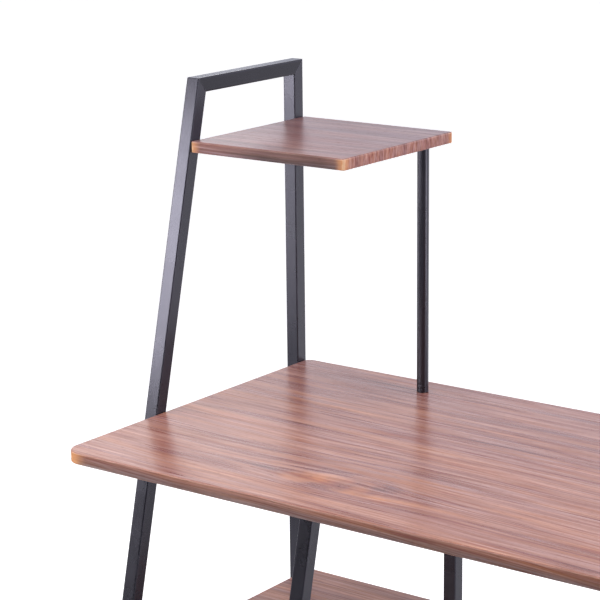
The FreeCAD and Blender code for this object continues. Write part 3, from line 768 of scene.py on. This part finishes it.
floorShape = {
    "columns": {"left": (-20.0, -0.45), "middle": (-0.45, 0.12), "right": (0.12, 20.0)},
    "rows": {"front": (-20.0, 0.0), "back": (0.0, 20.0)},
    "colour": (0.80, 0.80, 0.81),
    "roughness": 0.85,
    "glow": (0.36, 0.70),          # round the desk, and further out
    "glowReach": (0.75, 1.45),
    "glossStart": (1.0, 2.8),
    "glossGlow": 0.805,
}


def rayKinds(tree):
    path = addNode(tree, "ShaderNodeLightPath").outputs
    seen = maths(tree, "MAXIMUM", path["Is Camera Ray"], path["Is Transmission Ray"])
    return seen, path["Is Glossy Ray"]


def makeFloorMaterial(shape):
    material, tree, shader = startMaterial("paleFloor")
    shader.inputs["Base Color"].default_value = (*shape["colour"], 1.0)
    shader.inputs["Roughness"].default_value = shape["roughness"]
    shader.inputs["Emission Color"].default_value = (*white, 1.0)
    geometry = addNode(tree, "ShaderNodeNewGeometry").outputs
    seen, glossy = rayKinds(tree)
    # the glow is weaker round the desk, so that its shadow shows there
    away = addNode(tree, "ShaderNodeVectorMath", {0: geometry["Position"]}, operation="LENGTH")
    near = remap(tree, away.outputs["Value"], shape["glowReach"], shape["glow"])
    back = remap(tree, splitVector(tree, geometry["Position"])["Y"], shape["glossStart"])
    mirrored = maths(tree, "MULTIPLY", maths(tree, "MULTIPLY", glossy, back),
                     shape["glossGlow"])
    glow = maths(tree, "MAXIMUM", maths(tree, "MULTIPLY", seen, near), mirrored)
    tree.links.new(glow, shader.inputs["Emission Strength"])
    # clear from below, so that the desk's underside can be looked at
    clear = addNode(tree, "ShaderNodeBsdfTransparent").outputs[0]
    surface = addNode(tree, "ShaderNodeMixShader",
                      {0: geometry["Backfacing"], 1: shader.outputs[0], 2: clear})
    tree.links.new(surface.outputs[0], tree.nodes["Material Output"].inputs["Surface"])
    return material


def makeFloor(shape):
    # each foot stands on its own part, which goes down with it as it is screwed out,
    # because the frame is the body that stays
    material = makeFloorMaterial(shape)
    for side, (left, right) in shape["columns"].items():
        for end, (front, back) in shape["rows"].items():
            data = bpy.data.meshes.new(f"paleFloor_{side}_{end}")
            data.from_pydata([(left, front, 0.0), (right, front, 0.0), (right, back, 0.0),
                              (left, back, 0.0)], [], [(0, 1, 2, 3)])
            data.materials.append(material)
            tile = bpy.data.objects.new(data.name, data)
            bpy.context.scene.collection.objects.link(tile)
            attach(tile, f"{side}_{end}_foot")


makeFloor(floorShape)
print("floor laid")


# room with a bright band behind the desk, as its gloss mirrors it

roomShape = {
    "level": 0.09,
    "tint": (0.83, 0.85, 1.0),
    "bandLevel": 2.05,
    "bandStart": (-0.35, 0.45),
    "bandRise": (0.130, 0.265),
    "bandFall": (0.265, 0.345),
    "footShare": 0.34,
    "topShare": 0.30,
    "topTint": (0.96, 0.91, 0.87),
    "taper": 0.36,
    "taperMiddle": -0.565,
    "sideRange": (-0.58, -0.46),
    "sideShare": (1.0, 0.86),
}


def makeWorld(shape):
    world = bpy.data.worlds.new("studioWorld")
    world.use_nodes = True
    tree = world.node_tree
    backdrop = tree.nodes["Background"]
    seen = rayKinds(tree)[0]
    way = splitVector(tree, addNode(tree, "ShaderNodeTexCoord").outputs["Generated"])
    level = remap(tree, way["Y"], shape["bandStart"], (shape["level"], shape["bandLevel"]))
    # the band narrows towards the left
    aside = centred(tree, way["X"], shape["taperMiddle"])
    lower = maths(tree, "MULTIPLY_ADD", aside, shape["taper"], way["Z"])
    upper = maths(tree, "MULTIPLY_ADD", aside, -shape["taper"], way["Z"])
    rise = remap(tree, lower, shape["bandRise"], (shape["footShare"], 1.0))
    fall = remap(tree, upper, shape["bandFall"])
    top = maths(tree, "MULTIPLY_ADD", fall, shape["topShare"] - 1.0, 1.0)
    for share in (rise, remap(tree, way["X"], shape["sideRange"], shape["sideShare"]), top):
        level = maths(tree, "MULTIPLY", level, share)
    tone = mixColours(tree, fall, shape["tint"], shape["topTint"])
    tree.links.new(mixColours(tree, seen, tone, white), backdrop.inputs["Color"])
    # plain white where the camera sees it
    lift = maths(tree, "MULTIPLY", maths(tree, "SUBTRACT", 1.0, level), seen)
    tree.links.new(maths(tree, "ADD", level, lift), backdrop.inputs["Strength"])
    bpy.context.scene.world = world


makeWorld(roomShape)

lamps = [
    # name, place, aimed at, width, height, power
    ("overheadSoftbox", (-0.2, -1.1, 3.3), (0.0, 0.0, 0.76), 2.6, 2.2, 38.0),
    ("leftSoftbox", (-1.50, -0.64, 1.88), (-0.58, -0.02, 0.85), 0.55, 0.50, 4.5),
    ("frontSoftbox", (-1.33, -0.97, 1.17), (-0.55, 0.05, 1.05), 0.44, 0.50, 7.1),
    ("frontStrip", (-0.99, -1.15, 1.24), (-0.56, 0.02, 1.00), 0.16, 0.50, 3.6),
    ("rightPanel", (2.0, 0.45, 0.50), (-0.35, 0.2, 0.95), 0.55, 0.60, 8.5),
    ("lowSoftbox", (-1.70, -0.95, 0.66), (-0.58, 0.2, 0.9), 0.40, 0.45, 2.8),
    ("backPanel", (-2.45, 1.9, 2.0), (-0.4, 0.0, 0.8), 0.9, 0.5, 3.0),
    ("frontKey", (-0.3, -2.4, 2.6), (-0.1, 0.0, 0.8), 1.6, 1.0, 27.0),
    ("sideSoftbox", (2.4, 0.2, 2.0), (0.0, 0.0, 0.9), 1.2, 1.2, 44.0),
]


def makeLamp(name, place, target, width, height, power):
    light = bpy.data.lights.new(name, "AREA")
    light.shape = "RECTANGLE"
    light.size = width
    light.size_y = height
    light.energy = power
    lamp = bpy.data.objects.new(name, light)
    bpy.context.scene.collection.objects.link(lamp)
    lamp.location = place
    way = Vector(target) - Vector(place)
    lamp.rotation_euler = way.to_track_quat("-Z", "Y").to_euler()
    lamp.visible_camera = False


for lampSettings in lamps:
    makeLamp(*lampSettings)
print("studio lit:", len(lamps), "lamps")


# camera; its angles are in degrees

cameraShape = {
    "place": (1.1743, -2.0965, 1.5730),
    "turn": 36.840,
    "tilt": 13.895,
    "roll": 0.681,
    "sensor": 36.0,
    "focalShare": 3.522,           # focal length over the sensor's width
    "reach": 100.0,
}


def makeCamera(shape):
    turn, tilt, roll = (math.radians(shape[name]) for name in ("turn", "tilt", "roll"))
    ahead = Vector((-math.sin(turn) * math.cos(tilt), math.cos(turn) * math.cos(tilt),
                    -math.sin(tilt)))
    level = Vector((math.cos(turn), math.sin(turn), 0.0))
    down = ahead.cross(level)
    right = level * math.cos(roll) + down * math.sin(roll)
    up = level * math.sin(roll) - down * math.cos(roll)
    data = bpy.data.cameras.new("deskCamera")
    data.sensor_width = shape["sensor"]
    data.lens = shape["sensor"] * shape["focalShare"]
    data.clip_end = shape["reach"]
    camera = bpy.data.objects.new("deskCamera", data)
    bpy.context.scene.collection.objects.link(camera)
    axes = Matrix((right, up, -ahead)).transposed()
    camera.matrix_world = Matrix.Translation(shape["place"]) @ axes.to_4x4()
    bpy.context.scene.camera = camera


makeCamera(cameraShape)
bpy.context.scene.view_settings.view_transform = "Standard"
print("camera placed")
